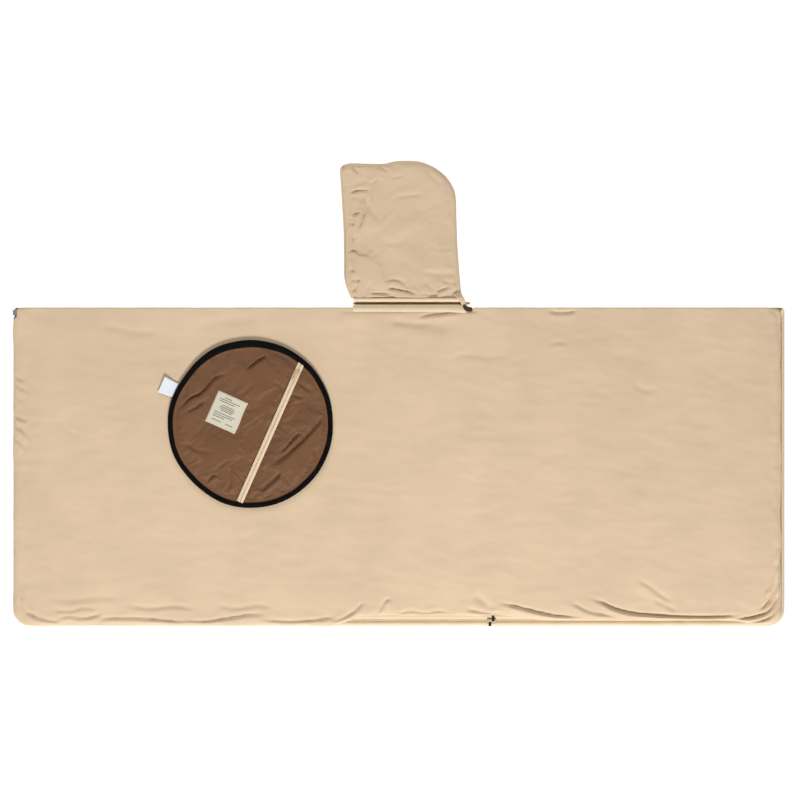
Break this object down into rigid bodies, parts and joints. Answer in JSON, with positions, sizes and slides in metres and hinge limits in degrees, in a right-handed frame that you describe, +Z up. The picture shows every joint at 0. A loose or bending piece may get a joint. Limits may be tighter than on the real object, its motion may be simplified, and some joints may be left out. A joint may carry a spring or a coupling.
{
  "type": "hooded infrared sauna blanket",
  "caption": "Padded heated blanket of two panels with a zip round three sides, a zip-on hood at the fold and a round zipped storage pouch.",
  "frame": {"origin": "centre of the blanket's underside, where it lies on the floor", "axes": "+X along the long side; +Y from the zipped long edge to the folded edge with the hood; +Z up through the blanket"},
  "size_m": [1.8, 1.086, 0.0435],
  "materials": {
    "beige_cloth": "soft woven polyester, matt",
    "brown_nylon": "thin coated nylon, slight sheen",
    "cream_tape": "woven tape and moulded coil, matt",
    "black_binding": "ribbed grosgrain, matt",
    "white_satin": "printed satin ribbon",
    "white_padding": "needled polyester wadding",
    "carbon_heater": "carbon fibre heating mat",
    "wire_insulation": "silicone insulation",
    "grey_plastic": "moulded nylon",
    "cream_enamel_metal": "enamelled die-cast zinc",
    "black_pull": "moulded soft plastic"
  },
  "bodies": {
    "back_panel": {"back_heater_left": "carbon_heater", "back_heater_right": "carbon_heater", "back_insulation": "white_padding", "back_junction": "grey_plastic", "back_lead": "wire_insulation", "back_lining": "brown_nylon", "back_sensor": "grey_plastic", "back_shell": "beige_cloth", "fold_gusset_left": "beige_cloth", "fold_gusset_right": "beige_cloth", "neck_collar_lower": "cream_tape", "neck_collar_upper": "cream_tape", "neck_zip_collar_half": "cream_tape", "power_inlet": "grey_plastic", "zip_coil_back": "cream_tape", "zip_stop_back_left": "cream_enamel_metal", "zip_stop_back_right": "cream_enamel_metal", "zip_tape_back": "cream_tape"},
    "front_panel": {"front_heater_left": "carbon_heater", "front_heater_right": "carbon_heater", "front_insulation": "white_padding", "front_junction": "grey_plastic", "front_lead": "wire_insulation", "front_lining": "brown_nylon", "front_sensor": "grey_plastic", "front_shell": "beige_cloth", "zip_coil_front": "cream_tape", "zip_stop_front_left": "cream_enamel_metal", "zip_stop_front_right": "cream_enamel_metal", "zip_tape_front": "cream_tape"},
    "zip_slider_left": {"zip_slider_left": "cream_enamel_metal"},
    "zip_slider_right": {"zip_slider_right": "cream_enamel_metal"},
    "zip_pull_left": {"zip_pull_left": "black_pull"},
    "zip_pull_right": {"zip_pull_right": "black_pull"},
    "hood_band": {"hood_hem_lower": "cream_tape", "hood_hem_upper": "cream_tape", "neck_zip_hood_half": "cream_tape"},
    "hood": {"hood_elastic": "white_satin", "hood_facing_lower": "beige_cloth", "hood_facing_upper": "beige_cloth", "hood_lining_lower": "brown_nylon", "hood_lining_upper": "brown_nylon", "hood_padding_lower": "white_padding", "hood_padding_upper": "white_padding", "hood_panel_lower": "beige_cloth", "hood_panel_upper": "beige_cloth", "hood_seam": "beige_cloth"},
    "neck_slider": {"neck_zip_slider": "cream_enamel_metal"},
    "neck_pull": {"neck_zip_pull": "cream_enamel_metal"},
    "pouch": {"pouch_back_panel": "brown_nylon", "pouch_binding": "black_binding", "pouch_care_tag": "white_satin", "pouch_front_panel": "brown_nylon", "pouch_label": "cream_tape", "pouch_side_panel": "brown_nylon", "pouch_zip_half_left": "cream_tape", "pouch_zip_half_right": "cream_tape"},
    "pouch_slider": {"pouch_zip_slider": "cream_enamel_metal"},
    "pouch_pull": {"pouch_zip_pull": "cream_enamel_metal"}
  },
  "joints": [
    {"name": "front_panel_fold", "type": "hinge", "parent": "back_panel", "child": "front_panel", "pos_m": [0, 0.371, 0.0333], "axis": [-1, 0, 0], "range_deg": [0, 180]},
    {"name": "zip_slider_left_travel", "type": "slide", "parent": "front_panel", "child": "zip_slider_left", "axis": [1, 0, 0], "range_m": [-1.05, 0]},
    {"name": "zip_slider_right_travel", "type": "slide", "parent": "front_panel", "child": "zip_slider_right", "axis": [1, 0, 0], "range_m": [0, 0.62]},
    {"name": "zip_pull_left_swing", "type": "hinge", "parent": "zip_slider_left", "child": "zip_pull_left", "pos_m": [0.212, -0.3613, 0.0219], "axis": [-1, 0, 0], "range_deg": [0, 170]},
    {"name": "zip_pull_right_swing", "type": "hinge", "parent": "zip_slider_right", "child": "zip_pull_right", "pos_m": [0.2196, -0.3589, 0.0219], "axis": [1, 0, 0], "range_deg": [0, 170]},
    {"name": "hood_unzip", "type": "slide", "parent": "back_panel", "child": "hood_band", "axis": [0, 1, 0], "range_m": [0, 0.25]},
    {"name": "hood_turn_back", "type": "hinge", "parent": "hood_band", "child": "hood", "pos_m": [0.02, 0.39315, 0.0375], "axis": [1, 0, 0], "range_deg": [0, 180]},
    {"name": "neck_slider_travel", "type": "slide", "parent": "back_panel", "child": "neck_slider", "axis": [1, 0, 0], "range_m": [-0.245, 0]},
    {"name": "neck_pull_swing", "type": "hinge", "parent": "neck_slider", "child": "neck_pull", "pos_m": [0.1452, 0.3824, 0.0248], "axis": [0, -1, 0], "range_deg": [0, 170]},
    {"name": "pouch_move", "type": "slide", "parent": "front_panel", "child": "pouch", "axis": [0, -1, 0], "range_m": [0, 0.3]},
    {"name": "pouch_slider_travel", "type": "slide", "parent": "pouch", "child": "pouch_slider", "axis": [-0.4067, -0.9135, 0], "range_m": [0, 0.3]},
    {"name": "pouch_pull_swing", "type": "hinge", "parent": "pouch_slider", "child": "pouch_pull", "pos_m": [-0.23666, 0.22005, 0.0429], "axis": [-0.9135, 0.4067, 0], "range_deg": [0, 170]}
  ]
}
